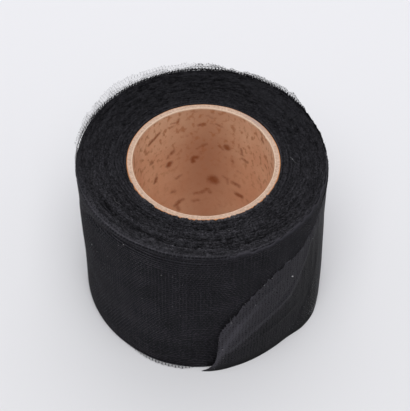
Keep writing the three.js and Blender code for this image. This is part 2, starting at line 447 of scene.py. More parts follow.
def paint_wound_net(graph):
    place = graph.net_place()
    solid = graph.solid_place()
    # The side: two layers of net
    first, staggered = slack_rows(graph)
    first = net(graph, NET_ROWS, first, MESH_PITCH, MESH_RISE, 0.58, staggered)
    first = graph.minus(first["Mask"], graph.times(first["Rib"], 0.18))
    second = graph.vector("ADD", place, graph.drift(solid, 22, 2.2))
    second = net(graph, NET_ROWS, second, GIRTH / (MESHES_ROUND + 2), MESH_RISE * 0.93, 0.5, 1.0)
    light = graph.times(first, graph.ramp(second["Mask"], 0.0, 1.0, 0.7, 1.15))
    crisp = graph.times(graph.minus(light, 0.48), graph.mark("crisp"))
    light = graph.math("MAXIMUM", graph.plus(light, crisp), 0.0)
    columns = graph.noise(place, (0.45, 0.025, 1.0))
    light = graph.times(light, graph.ramp(columns, 0.3, 0.7, 0.72, 1.2))
    patches = graph.ramp(graph.noise(solid, 60, 3.0), 0.3, 0.7, 0.53, 0.80)
    meshes = graph.ramp(graph.noise(place, 0.62, 1.0), 0.34, 0.66, 0.45, 1.25)
    light = graph.times(light, graph.times(patches, meshes))
    light = graph.plus(light, graph.mark("lit"))
    side = graph.blend(light, BLACK_HOLE, BLACK_STRAND)
    # The upper end: the edges of the turns, broken up along their length
    grains = graph.noise(solid, 1350, 3.0, 0.7)
    streaks = graph.noise(ring_place(graph, 30.0, 420), 4.0, 3.0, 0.6)
    end = graph.blend(graph.ramp(grains, 0.38, 0.66), rgb(0.005, 0.005, 0.006), rgb(0.055, 0.053, 0.062))
    end = graph.blend(graph.ramp(streaks, 0.36, 0.5, 0.22, 0.0), end, rgb(0.003, 0.003, 0.004))
    # Painted shade: the end is painted darker at the back, where the net also lies flatter
    back = graph.vector("DOT_PRODUCT", solid, (0.0, 1.0, 0.0))
    end = graph.blend(graph.ramp(back, -0.05, 0.06, 0.0, 0.75), end, rgb(0.009, 0.009, 0.011))
    colour = graph.blend(graph.mark("end"), side, end)
    # The bunched rim, painted lighter: a painted highlight where its slope catches the light from above
    rim = graph.blend(graph.ramp(grains, 0.36, 0.66), rgb(0.014, 0.014, 0.017), rgb(0.090, 0.087, 0.100))
    colour = graph.blend(graph.mark("rim_highlight"), colour, rim)
    height = graph.plus(graph.times(light, 0.5), graph.times(grains, 0.8))
    bump = graph.relief(height, 0.6, 0.3)
    return {"Base Color": colour, "Normal": bump}


def paint_turn_edges(graph):
    flecks = graph.noise(graph.solid_place(), 1700, 3.0, 0.7)
    lit = graph.times(graph.mark("tip"), graph.ramp(flecks, 0.35, 0.7, 0.3, 1.0))
    colour = graph.blend(lit, rgb(0.006, 0.006, 0.007), rgb(0.185, 0.180, 0.205))
    bump = graph.relief(flecks, 0.5, 0.2)
    return {"Base Color": colour, "Normal": bump}


def paint_sheer_net(graph, thin_strand, light):
    """One layer of net: rows of slots where it lies on the roll, six-sided meshes where it
    hangs free of it, and wider, ruffled strands where it is gathered."""
    gathered = graph.mark("gathered")
    shifted, staggered = slack_rows(graph)
    ruffled = graph.drift(graph.solid_place(), 380, 2.2)
    shifted = graph.vector("ADD", shifted, graph.scaled(ruffled, graph.ramp(gathered, 0.15, 0.6)))
    strand = graph.plus(thin_strand, gathered)
    hexes = net(graph, HEX_NET, shifted, MESH_PITCH, MESH_RISE, graph.times(strand, 0.85))["Mask"]
    staggered = graph.times(staggered, graph.ramp(gathered, 0.1, 0.3, 1.0, 0.25))
    rows = net(graph, NET_ROWS, shifted, MESH_PITCH, MESH_RISE, strand, staggered)
    free = graph.between(0.55, rows["Mask"], hexes)
    mask = graph.between(graph.mark("free"), rows["Mask"], free)
    fibres = graph.noise(graph.net_place(), (7.0, 1.5, 1.0), 3.0, 0.6)
    ribs = graph.ramp(rows["Rib"], 0.0, 1.0, 0.82, 1.0)
    shade = graph.times(graph.ramp(fibres, 0.3, 0.7, 0.3, 0.65), ribs)
    shade = graph.plus(shade, graph.mark("lit"))
    colour = graph.blend(shade, rgb(0.003, 0.003, 0.004), light)
    bump = graph.relief(mask, 0.5, 0.1)
    return {"Base Color": colour, "Alpha": mask, "Normal": bump}


def paint_loose_net(graph):
    return paint_sheer_net(graph, 0.13, rgb(0.057, 0.054, 0.065))


def paint_outer_turns(graph):
    return paint_sheer_net(graph, 0.11, rgb(0.046, 0.044, 0.053))


def paint_board(graph):
    solid = graph.solid_place()
    place = graph.net_place()
    # The wall: kraft paper, clouded and fibrous, with glue that has soaked through in places
    clouds = graph.noise(solid, 55, 4.0, 0.6)
    wall = graph.blend(graph.ramp(clouds, 0.3, 0.7), rgb(0.87, 0.525, 0.335), rgb(0.96, 0.655, 0.44))
    fibres = graph.noise(place, (0.9, 3.2, 1.0), 4.0, 0.7)
    wall = graph.blend(graph.ramp(fibres, 0.35, 0.75, 0.0, 0.3), wall, rgb(0.50, 0.25, 0.14))
    # Painted shade deep down the back of the wall
    wall = graph.blend(graph.mark("deep_wall_shade"), wall, rgb(0.43, 0.215, 0.125))
    freckles = graph.noise(place, (0.34, 0.22, 1.0))
    freckles = graph.times(graph.ramp(freckles, 0.51, 0.69), graph.mark("freckled"))
    wall = graph.blend(freckles, wall, rgb(0.44, 0.185, 0.08))
    ragged = graph.times(graph.ramp(graph.noise(solid, 600, 3.0, 0.7), 0.3, 0.7), 0.2)
    soaked = graph.ramp(graph.minus(graph.mark("stain"), ragged), 0.0, 0.9)
    wall = graph.blend(soaked, wall, rgb(0.30, 0.105, 0.043))
    # The end: pale raw board between a cream inner ply and a rust-coloured outer one
    ply = graph.mark("ply")
    pulp = graph.noise(solid, 700, 4.0, 0.7)
    face = graph.blend(graph.ramp(pulp, 0.3, 0.7), rgb(0.46, 0.31, 0.225), rgb(0.64, 0.46, 0.355))
    specks = graph.ramp(graph.noise(solid, 1100, 2.0), 0.60, 0.70)
    face = graph.blend(graph.times(specks, 0.6), face, rgb(0.20, 0.15, 0.13))
    face = graph.blend(graph.ramp(ply, 0.10, 0.24, 0.7, 0.0), face, rgb(0.76, 0.58, 0.44))
    face = graph.blend(graph.ramp(ply, 0.80, 0.91, 0.0, 0.9), face, rgb(0.60, 0.25, 0.10))
    face = graph.blend(graph.mark("smear"), face, rgb(0.36, 0.27, 0.26))
    colour = graph.blend(graph.mark("face"), wall, face)
    height = graph.plus(pulp, graph.times(fibres, 0.5))
    bump = graph.relief(height, 0.35, 0.25)
    return {"Base Color": colour, "Normal": bump}


def mottled(scale, dark, light):
    """A paint function for small things: noise between two colours."""
    return lambda graph: {"Base Color": graph.blend(graph.noise(graph.solid_place(), scale), dark, light)}


def paint_floor(graph):
    """Pale paper, painted a little darker towards the front as shade."""
    back = graph.vector("DOT_PRODUCT", graph.solid_place(), (0.0, 1.0, 0.0))
    shade = graph.ramp(back, -0.25, 0.35)
    return {"Base Color": graph.blend(shade, rgb(0.735, 0.735, 0.752), rgb(0.84, 0.84, 0.868))}


WOUND_NET = finished("black_net_wound", paint_wound_net, 0.8, 0.08)
TURN_EDGES = finished("black_net_edges", paint_turn_edges, 0.75, 0.1)
OUTER_NET = finished("black_net_turns", paint_outer_turns, 0.75, 0.08)
LOOSE_NET = finished("black_net_sheer", paint_loose_net, 0.7, 0.12)
BOARD = finished("kraft_board", paint_board, 0.9, 0.2)
THREAD_PAINT = mottled(900, rgb(0.02, 0.02, 0.022), rgb(0.22, 0.215, 0.235))
THREAD = finished("black_net_thread", THREAD_PAINT, 0.7, 0.15)
LINT = finished("pale_lint", mottled(500, rgb(0.30, 0.30, 0.31), rgb(0.75, 0.74, 0.74)), 0.8, 0.3)
DUST = finished("grey_lint", mottled(500, rgb(0.06, 0.06, 0.062), rgb(0.24, 0.24, 0.25)), 0.8, 0.2)
FLOOR = finished("pale_floor", paint_floor, 0.8, 0.2)


# The winding

ROUND_STEPS = 720
BEARINGS = -180 + 360 * np.arange(ROUND_STEPS) / ROUND_STEPS
# Steps in each stretch of the section, from the foot up the side and in over the end
SIDE_STEPS = (3, 5, 9, 8, 8, 14, 5, 16, 4, 5)
END_STEPS = (6, 8, 4, 9, 4, 8, 4, 7)
LIP_STEP = sum(SIDE_STEPS[:8])


def wound_column(name, bearing):
    """A column of the wound side's table at any bearing, eased between its rows."""
    table = np.array(WOUND_SHAPE, float)
    at, values = table[:, 0], table[:, WOUND_COLUMNS.index(name)]
    row = np.clip(np.searchsorted(at, bearing), 1, len(at) - 1)
    return values[row - 1] + (values[row] - values[row - 1]) * smooth(at[row - 1], at[row], bearing)


def ring_depth(bearing):
    """How deep the rings of the end lie, as a share of their depth at the front."""
    return 0.6 + 0.4 * facing(bearing)


def wound_knots(bearing):
    """The section's knots at each bearing, as radius and height."""
    foot, knee, waist, crease, depth, lip, rim = (wound_column(c, bearing) for c in WOUND_COLUMNS[1:])
    before_crease = (waist + lip) / 2
    rim_radius = WINDING_RADIUS - rim
    side = [
        (foot - FOOT_ROUND, 0),
        (foot, FOOT_HEIGHT),
        (foot + (knee - foot) * 0.2, HEEL_HEIGHT),
        (knee, KNEE_HEIGHT),
        ((knee + waist) / 2, (KNEE_HEIGHT + WAIST_HEIGHT) / 2),
        (waist, WAIST_HEIGHT),
        (before_crease, crease - CREASE_WIDTH),
        (before_crease - depth, crease),
        (lip, LIP_HEIGHT),
        (lip + (-rim - lip) * 0.4, ROLL_HEIGHT - 2 * RIM_DROP),
        (-rim, ROLL_HEIGHT - RIM_DROP / 2),
    ]
    knots = [(WINDING_RADIUS + out, height) for out, height in side]
    for share, below in reversed(WINDING_RINGS):
        radius = WINDING_INSIDE + (rim_radius - WINDING_INSIDE) * share
        knots.append((radius, ROLL_HEIGHT - below * ring_depth(bearing)))
    return np.array([np.stack(np.broadcast_arrays(*knot), axis=-1) for knot in knots])


def wound_section(bearing, steps):
    """Radius, height and length along the section at each bearing, with the given number of
    steps in each stretch between knots."""
    places = [stretch + np.arange(count) / count for stretch, count in enumerate(steps)]
    section = spline(wound_knots(bearing), np.concatenate([*places, [len(steps)]])).transpose(1, 0, 2)
    radius, height = section[..., 0], section[..., 1]
    return radius, height, path_length(radius, height)


# Folds on the wound side: from one place to another, half width and height
SIDE_FOLDS = [
    (-171, 62, -150, 34, 1.5, -0.45),
    (-168, 55, -140, 24, 1.3, 0.35),
    (-163, 40, -148, 22, 1.2, -0.35),
    (-172, 30, -158, 16, 1.4, 0.35),
    (-150, 88, -128, 84, 2.0, 0.25),
    (-128, 90, -104, 88, 1.6, -0.3),
]


def humps(bearing, height, lines):
    """For each line with its half width and strength, the hump over it and the share along it."""
    for *line, half_width, strength in lines:
        gap, along = off_line(bearing, height, line)
        yield strength * hump(gap, 0, half_width), along


def fold_relief(bearing, height, folds):
    """The sum of soft ridges and troughs, each along a line and lower at its ends."""
    return sum(
        ridge * (0.25 + 0.75 * np.sqrt(np.clip(4 * along * (1 - along), 0, 1)))
        for ridge, along in humps(bearing, height, folds)
    )


# The bunched rim and its painted highlight, by bearing: where it starts and ends beyond the lip, and how
# strong
BAND_AT = (-180, -176, -165, -147.5, -134, -115, -95, -75, -50, -25, 0, 20)
BAND_FROM = (-28, -26, -20, -5.5, 0.9, 1.7, 1.9, 2.1, 1.7, 1.5, 1.2, 1.0)
BAND_TO = (-14, -9, 0.5, 3.0, 4.2, 5.0, 4.6, 3.8, 2.8, 2.4, 2.1, 1.8)
BAND_STRENGTH = (0, 0.3, 0.42, 0.5, 0.52, 0.56, 0.61, 0.68, 0.7, 0.55, 0.4, 0.1)
# How far the colour of the rim's painted highlight takes over
RIM_HIGHLIGHT_SHARE = 0.7
# Pleats that run along the rim: share of its width, and height
BAND_PLEATS = [(0.08, 0.28), (0.27, -0.2), (0.45, 0.2), (0.66, -0.2), (0.86, 0.24)]
PLEAT_HALF_WIDTH = 0.07


def rim_band(bearing, beyond):
    """How strong the rim's painted highlight shows at each place, and the relief of its pleats."""
    start = np.interp(bearing, BAND_AT, BAND_FROM)
    share = (beyond - start) / (np.interp(bearing, BAND_AT, BAND_TO) - start)
    inside = smooth(-0.12, 0.06, share) * (1 - smooth(0.8, 1.25, share))
    inside = inside * np.interp(bearing, BAND_AT, BAND_STRENGTH)
    relief = sum(rise * hump(share, middle, PLEAT_HALF_WIDTH) for middle, rise in BAND_PLEATS)
    return inside * np.clip(0.6 + 1.2 * relief, 0, 1), inside * relief


def wound_surface():
    """Points over the side and the end as rows by bearing, and where each point lies."""
    radius, height, length = wound_section(BEARINGS, SIDE_STEPS + END_STEPS)
    bearing = np.broadcast_to(BEARINGS[:, None], radius.shape)
    # Distance along the section from the lip, up the side and in over the end
    beyond = length - length[:, LIP_STEP:LIP_STEP + 1]
    end = smooth(ROLL_HEIGHT - 2.2, ROLL_HEIGHT - 0.4, height) * smooth(0, 4, beyond)
    shape = radius.shape
    # Slack in the wound side, and the lumps and turn edges of the end
    # The rim's painted highlight, and the relief of its pleats
    rim_highlight, band_relief = rim_band(bearing, beyond)
    side_waves = 0.08 * grain(shape, (26, 9), 11) + 0.04 * grain(shape, (5, 30), 12)
    side_waves += fold_relief(bearing, height, SIDE_FOLDS)
    out = (1 - end) * (side_waves + band_relief) * smooth(0, 5, height)
    end_waves = sum(0.06 * grain(shape, *wave) for wave in (((14, 1.6), 13), ((3, 1.0), 14), ((1, 0.8), 15)))
    lift = end * smooth(WINDING_INSIDE, WINDING_INSIDE + 1.2, radius) * (end_waves + band_relief)
    points = polar(radius + out, bearing, np.maximum(height + lift, 0))
    return points, beyond, end, rim_highlight


INSIDE_STEPS = 3
INSIDE_STRIDE = 30
# Where folds of the wound side catch the light, and where they shade it: from one place to
# another, half width and strength
SIDE_STREAKS = [
    (-137.4, 63.5, -129.4, 66.4, 2.2, 0.20),
    (-166.7, 57.9, -151.2, 54.2, 2.4, 0.15),
    (-159.5, 34.3, -146.9, 36.7, 3.0, 0.14),
    (-139.7, 30.2, -127.8, 33.1, 2.6, 0.08),
    (-172, 84, -160, 72, 2.0, 0.14),
    (-145, 93, -128, 94.5, 1.6, -0.17),
    (-128, 94.5, -108, 97, 1.2, -0.14),
    (-155, 80, -143, 60, 2.0, -0.10),
    (-108, 70, -96, 40, 5.0, 0.05),
    (-132, 12, -90, 12, 10.0, -0.13),
]


def side_light(points):
    """How much each point of the wound side stands out in the light, from its folds."""
    height = points[..., 2]
    bearing = np.degrees(np.arctan2(points[..., 1], points[..., 0]))
    return sum(light for light, _ in humps(bearing, height, SIDE_STREAKS))


def build_winding():
    points, beyond, end, rim_highlight = wound_surface()
    inside = np.linspace(points[:, -1, 2], 0, INSIDE_STEPS + 1, axis=1)[:, 1:]
    inside = polar(WINDING_INSIDE, BEARINGS[:, None], inside)
    grid = np.concatenate([points, inside], axis=1)
    rows, columns = grid.shape[:2]
    faces, corner_row, corner_column = grid_faces(rows, columns, True, True)
    girth_place = GIRTH * corner_row / rows
    inside_beyond = beyond[:, -1:] + INSIDE_STRIDE * np.arange(1, INSIDE_STEPS + 1)
    beyond = np.concatenate([beyond, inside_beyond], axis=1)
    depth_place = beyond[corner_row % rows, corner_column % columns]
    # The meshes show more on the left and the right, where the turns lie evenly
    crisp = 1.5 * smooth(-98, -118, BEARINGS) + 0.8 * smooth(-72, -52, BEARINGS)
    hidden = ((0, 0), (0, INSIDE_STEPS))
    marks = {
        "end": np.pad(end, hidden, constant_values=1),
        # Painted highlight on the rim's slope
        "rim_highlight": np.pad(rim_highlight, hidden) * RIM_HIGHLIGHT_SHARE,
        "lit": np.pad(side_light(points), hidden),
        "crisp": crisp[:, None],
    }
    uv = np.stack([girth_place, depth_place], axis=-1)
    piece = mesh_piece("winding", grid, faces, WOUND_NET, uv, marks)
    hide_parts("wound_net")
    return piece


# The edges of single turns standing proud of the winding's end

EDGE_COUNT = 92
EDGE_STEPS = 900
# How far the innermost turns lean over the tube's end at the front
TUBE_OVERHANG = 1.0


def build_turn_edges():
    """Crinkled strips of net, one for each few turns, with teeth where the net was cut."""
    bearing = -180 + 360 * np.arange(EDGE_STEPS) / EDGE_STEPS
    rim_radius = WINDING_RADIUS - wound_column("rim", bearing)
    span = rim_radius - WINDING_INSIDE
    shares, belows = np.array(WINDING_RINGS).T
    shape = (EDGE_COUNT, EDGE_STEPS)
    forward = facing(bearing)
    wander = 0.18 * grain(shape, (0.6, 14), 21) + 0.10 * grain(shape, (0.4, 1.0), 22)
    wander *= 0.3 + 0.7 * forward
    height = 0.10 * grain(shape, (0.9, 14), 23) + 0.13 * grain(shape, (0.3, 0.6), 24)
    height = 0.18 + 0.12 * forward + height * (0.35 + 0.65 * forward)
    lean = 0.22 * grain(shape, (0.5, 2), 25)
    shine = 0.12 * grain(shape, (1.0, 26), 26) + 0.26 * grain(shape, (0.3, 0.6), 27)
    shine = 0.42 + shine * (0.4 + 0.6 * forward)
    # The net lies flatter at the back; the tips are also painted darker there and most on the left, and
    # lighter towards the front: painted light and shade
    painted_tip_light = 0.34 + 0.66 * forward - 0.18 * hump(turned(bearing, 180), 0, 45)
    rows = []
    tips = []
    for number in range(EDGE_COUNT):
        share = 0.02 + 0.96 * number / (EDGE_COUNT - 1)
        radius = WINDING_INSIDE + 0.3 + span * share + wander[number] * min(1, 8 * (1 - share), 12 * share)
        radius = np.clip(radius, WINDING_INSIDE + 0.2, rim_radius + 0.3)
        below = np.interp((radius - WINDING_INSIDE) / span, shares, belows) * ring_depth(bearing)
        base = ROLL_HEIGHT - below - 0.35
        over_tube = TUBE_OVERHANG * max(0, 1 - number / 4.3) * smooth(0.1, -0.6, np.sin(np.radians(bearing)))
        top = base + 0.35 + np.clip(height[number] + 0.6 * over_tube, 0.02, 1.2)
        rows.append(np.stack([
            polar(radius, bearing, base),
            polar(np.maximum(radius + lean[number], WINDING_INSIDE + 0.1) - over_tube, bearing, top),
        ]))
        # Tip lightness: by chance, with the painted light towards the front and a painted highlight within
        # the rim's band; the strips' feet are painted a little lighter at the back
        from_rim = np.maximum(rim_radius - radius, 0)
        in_band = from_rim < np.interp(bearing, BAND_AT, BAND_TO) - 1.0
        lit = shine[number] * painted_tip_light + 0.32 * in_band * np.interp(bearing, BAND_AT, BAND_STRENGTH)
        tips.append(np.stack([0.10 * (1 - forward), np.clip(lit, 0, 1)]))
    strip_faces, _, _ = grid_faces(2, EDGE_STEPS, False, True)
    faces = np.concatenate([strip_faces + 2 * EDGE_STEPS * number for number in range(EDGE_COUNT)])
    marks = {"tip": np.array(tips)}
    return mesh_piece("turn_edges", np.array(rows), faces, TURN_EDGES, marks=marks)


# The last two tight turns, one sheet that runs on inwards from where the loose turn leaves

TURN_COUNT = 2
TURN_ROWS = 430
UP_STEPS = 84
# How far each turn stands off the winding where it lies tight, and its share of the slack
TURN_STAND_OFF = (0.40, 0.18)
TURN_SLACK = (0.94, 0.55)
# How far up the winding's section the turns begin
TURN_FOOT = 1.0
# The turns' upper margin by bearing: how far the outermost goes beyond the lip, and how far it
# leans in over the rim, from 0, upright, to 1, lying on the end
MARGIN_AT = (-186, -178, -168, -86, -72, 20, 34, 60, 90, 110, 140, 174)
MARGIN_REACH = (4.6, 3.4, 0.6, 0.6, 1.3, 1.3, 3.8, 3.8, 4.2, 5.0, 5.0, 4.8)
MARGIN_FOLDED = (0, 0, 1, 1, 1, 1, 0.25, 0.1, 0.1, 0, 0, 0)
# How brightly the margin's edge catches the light
MARGIN_LIT = (0, 0, 0, 0, 0.7, 0.4, 0, 0, 0, 0, 0, 0)
# How far the turns are gathered, by bearing: least on the left, most where they stand off
GATHERED_AT = (-186, -66, -44, -22, 45, 76, 90, 174)
GATHERED = (0.04, 0.06, 0.26, 0.55, 1.5, 1.3, 0.1, 0.06)
# Where the net stands up past the rim at the back right: by bearing, the height where it
# turns sheer, and how far it stays gathered there
VEIL_AT = (24, 30, 40, 50, 62, 72, 80, 88, 94)
VEIL_UP = (104, 102, 100.8, 99.6, 99.0, 99.2, 99.4, 101, 120)
VEIL_LEFT = (0.6, 0.6, 0.4, 0.3, 0.2, 0.35, 0.25, 0.2, 0.2)
# Where the outermost turn's hem flares out over the floor
HEM_FROM = -132
HEM_TO = -91
HEM_FLARE = 1.8


def loose_slack(bearing, height):
    """How far the loose turn's inner face stands off the winding radius, by place."""
    table = np.array(LOOSE_TURN, float)
    place = np.interp(bearing, table[::-1, 2], np.arange(len(table))[::-1])
    rows = spline(table[:, 3:], place[:, 0])
    top = np.interp(bearing[:, 0], table[::-1, 2], table[::-1, 1])
    level = np.clip((np.maximum(top, 98)[:, None] - height) / RIBBON_WIDTH * 3, 0, 2.999)
    above = level.astype(int)
    here = np.take_along_axis(rows, above, axis=1)
    below = np.take_along_axis(rows, above + 1, axis=1)
    return CLEARANCE + LOOSE_SLACK + here + (below - here) * (level - above)


def veiled(gathered, bearing, height):
    """Gathering of the net, less of it where it stands up past the rim at the back right."""
    turns_sheer = np.interp(bearing, VEIL_AT, VEIL_UP)
    past = smooth(turns_sheer - 1.2, turns_sheer + 1.5, height)
    return gathered + (np.interp(bearing, VEIL_AT, VEIL_LEFT) - gathered) * past


def turn_points(bearing, number):
    """One of the tight turns: its points by bearing and up the side, and its marks."""
    radius, height, length = wound_section(bearing, SIDE_STEPS + END_STEPS[:2])
    bearing = bearing[:, None]
    lip = length[:, LIP_STEP:LIP_STEP + 1]
    reach = np.interp(bearing, MARGIN_AT, MARGIN_REACH) * (1 - 0.35 * number)
    bunched = smooth(0.7, 1.2, reach)
    ragged = grain((len(bearing), 4), (1.2, 0), 36 + number)[:, :1]
    reach = reach * (1 + 0.22 * ragged)
    folded = np.interp(bearing, MARGIN_AT, MARGIN_FOLDED)
    along = TURN_FOOT + (lip + reach - TURN_FOOT) * np.linspace(0, 1, UP_STEPS + 1)
    beyond = along - lip
    past_lip = np.maximum(beyond, 0)
    # The margin between upright past the lip and lying on the end
    lying = np.stack([read_along(along, length, part) for part in (radius, height)])
    lip_radius = read_along(lip, length, radius)
    upright = np.stack([
        np.where(past_lip > 0, lip_radius, lying[0]),
        np.where(past_lip > 0, LIP_HEIGHT + past_lip, lying[1]),
    ])
    share_folded = folded * smooth(0, 1, past_lip) + (past_lip == 0)
    across, up = upright + (lying - upright) * np.clip(share_folded, 0, 1)
    # Away from the winding: straight out on the side, and up where it lies on the end
    level = smooth(ROLL_HEIGHT - 1.6, ROLL_HEIGHT - 0.3, up) * folded
    loose = smooth(-56, -30, bearing) * (1 - smooth(80, 120, bearing))
    slack = np.maximum(loose_slack(bearing, up) - (across - WINDING_RADIUS), 0) * loose
    corner = hump(bearing, -24, 13) * (1 - smooth(6, 34, up))
    slack = slack * (1 - 0.45 * corner)
    off = TURN_STAND_OFF[number] + slack * TURN_SLACK[number]
    gathered = np.interp(bearing, GATHERED_AT, GATHERED) * (1 - 0.85 * corner)
    gathered = gathered + 1.6 * folded * bunched * smooth(-1.2, 0.2, beyond)
    gathered = veiled(gathered, bearing, up)
    # Bunched over the rim at the back, and sheerer the further it stands up
    at_back = smooth(24, 34, bearing) + 1 - smooth(-178, -168, bearing)
    bunch = 1.3 * np.exp(-np.maximum(up - ROLL_HEIGHT + 1.3, 0) / 1.2) * smooth(0, 0.6, past_lip)
    gathered = np.maximum(gathered, bunch * at_back * (1 - folded))
    free = smooth(0.3, 1.2, past_lip) * (1 - folded)
    # The margin leans out a little at the back right
    off = off + 1.5 * smooth(0.5, 4.5, past_lip) * hump(bearing, 45, 13)
    if number == 0:
        hem = smooth(HEM_FROM, HEM_FROM + 24, bearing) * (1 - smooth(HEM_TO - 8, HEM_TO, bearing))
        ripple = 0.85 + 0.15 * np.sin(np.radians(bearing * 120))
        off = off + HEM_FLARE * hem * (1 - smooth(0.8, 5.0, up)) * ripple
        low_hem = hem * (1 - smooth(3, 5, up))
        free = np.maximum(free, low_hem)
        gathered = gathered + 0.22 * low_hem
    points = polar(across + off * (1 - level), bearing, np.maximum(up + off * level, 0.05))
    from_edge = lip + reach - along
    # Painted light and shade: a highlight along the margin's edge, shade near the floor, and darker where the
    # margin folds over onto the end, away from its edge
    lit = np.interp(bearing, MARGIN_AT, MARGIN_LIT) * (1 - smooth(0.2, 0.8, from_edge))
    lit = lit * (0.65 + 0.35 * np.abs(ragged)) - 0.10 * (1 - smooth(6, 34, up))
    lit = lit - 0.2 * folded * smooth(0.3, 1.0, from_edge) * smooth(-0.3, 0.2, beyond)
    return points, beyond, gathered, lit, free


def build_outer_turns():
    rows = TURN_COUNT * TURN_ROWS + 1
    turned_back = LEAVES_AT - 360 + 360 * np.arange(rows) / TURN_ROWS
    outer, *outer_fields = turn_points(turned_back[:TURN_ROWS + 1], 0)
    inner, *inner_fields = turn_points(turned_back[:TURN_ROWS + 1], 1)
    # The outer turn slopes down into the inner one over its last stretch
    ease = smooth(0.86, 1.0, np.linspace(0, 1, TURN_ROWS + 1))[:, None]
    outer = outer + (inner[:1] - outer[-1:]) * ease[..., None]
    points = np.concatenate([outer, inner[1:]])
    fields = [np.concatenate([one, other[1:]]) for one, other in zip(outer_fields, inner_fields)]
    along, gathered, lit, free = fields
    shape = gathered.shape
    relief = 0.05 * grain(shape, (12, 8), 35)
    points[..., :2] *= 1 + (relief / WINDING_RADIUS)[..., None]
    faces, corner_row, corner_column = grid_faces(*shape)
    # The inner turn's meshes lie half a mesh over from the outer one's
    girth_place = np.radians(turned_back) * WINDING_RADIUS
    girth_place = girth_place + 0.5 * MESH_PITCH * smooth(-6, 6, turned_back - LEAVES_AT)
    uv = np.stack([girth_place[corner_row], along[corner_row, corner_column]], axis=-1)
    marks = {"gathered": gathered, "lit": lit, "free": free}
    return mesh_piece("outer_turns", points, faces, OUTER_NET, uv, marks)


# The loose turn

LOOSE_STEPS = 420
LOOSE_DOWN = 120
# Folds of the loose end, from one place to another, half width and height
LOOSE_FOLDS = [
    (-84, 6, -78, 27, 1.6, 0.55),
    (-78, 27, -64, 56, 1.8, 0.7),
    (-64, 56, -50, 66, 1.8, 0.45),
    (-80, 17, -67, 33, 1.5, 0.4),
    (-67, 33, -44, 46, 1.7, 0.6),
    (-44, 46, -30, 77, 1.9, 0.55),
    (-60, 22, -38, 30, 2.0, 0.35),
    (-74, 40, -58, 60, 1.6, -0.5),
    (-62, 32, -40, 56, 2.2, -0.45),
    (-28, 20, -20, 60, 2.2, 0.35),
    (-40, 8, -30, 30, 2.0, -0.3),
]


# Streaks where the strands of the loose end are drawn together and catch the light: from one
# place to another, half width and strength
STREAKS = [
    (-87, 1.5, -84, 8, 1.6, 0.28),
    (-84, 7, -79, 24, 2.4, 0.48),
    (-79, 24, -72, 40, 2.6, 0.44),
    (-72, 40, -63, 52, 2.4, 0.28),
    (-63, 52, -55, 60, 2.2, 0.144),
    (-82, 12, -76, 26, 1.2, 0.24),
    (-76, 26, -68, 38, 1.1, 0.2),
    (-77, 17, -66, 29, 1.3, 0.32),
    (-66, 29, -54, 37, 1.5, 0.304),
    (-54, 37, -45, 43, 1.6, 0.224),
    (-45, 43, -38, 52, 1.6, 0.12),
    (-72, 18, -62, 24, 0.9, 0.16),
    (-80.5, 32, -76, 43, 1.4, 0.2),
]
# The line of the lower fold, below which the loose end is darker
FOLD_LINE_AT = (-84, -80, -67, -54, -44, -36, -30)
FOLD_LINE_UP = (4, 16, 32, 40, 46, 59, 77)
# How unevenly the loose end was cut, and between which rows of its table the cut begins
CUT_JAG = 2.8
CUT_ROWS = (12.5, 14)


def loose_surface():
    """Points of the loose turn as rows from where it leaves the roll to the tip."""
    table = np.array(LOOSE_TURN, float)
    place = np.linspace(0, len(table) - 1, LOOSE_STEPS)
    top_at, top, foot_at = spline(table[:, :3], place).T
    outs = spline(table[:, 3:], place).T
    share = np.linspace(0, 1, LOOSE_DOWN)
    stand_off = spline(outs, share * 3).T
    bearing = top_at[:, None] + (foot_at - top_at)[:, None] * share
    foot = np.maximum(0, top - RIBBON_WIDTH)
    height = top[:, None] + (foot - top)[:, None] * share
    return bearing, height, stand_off, place, top, foot


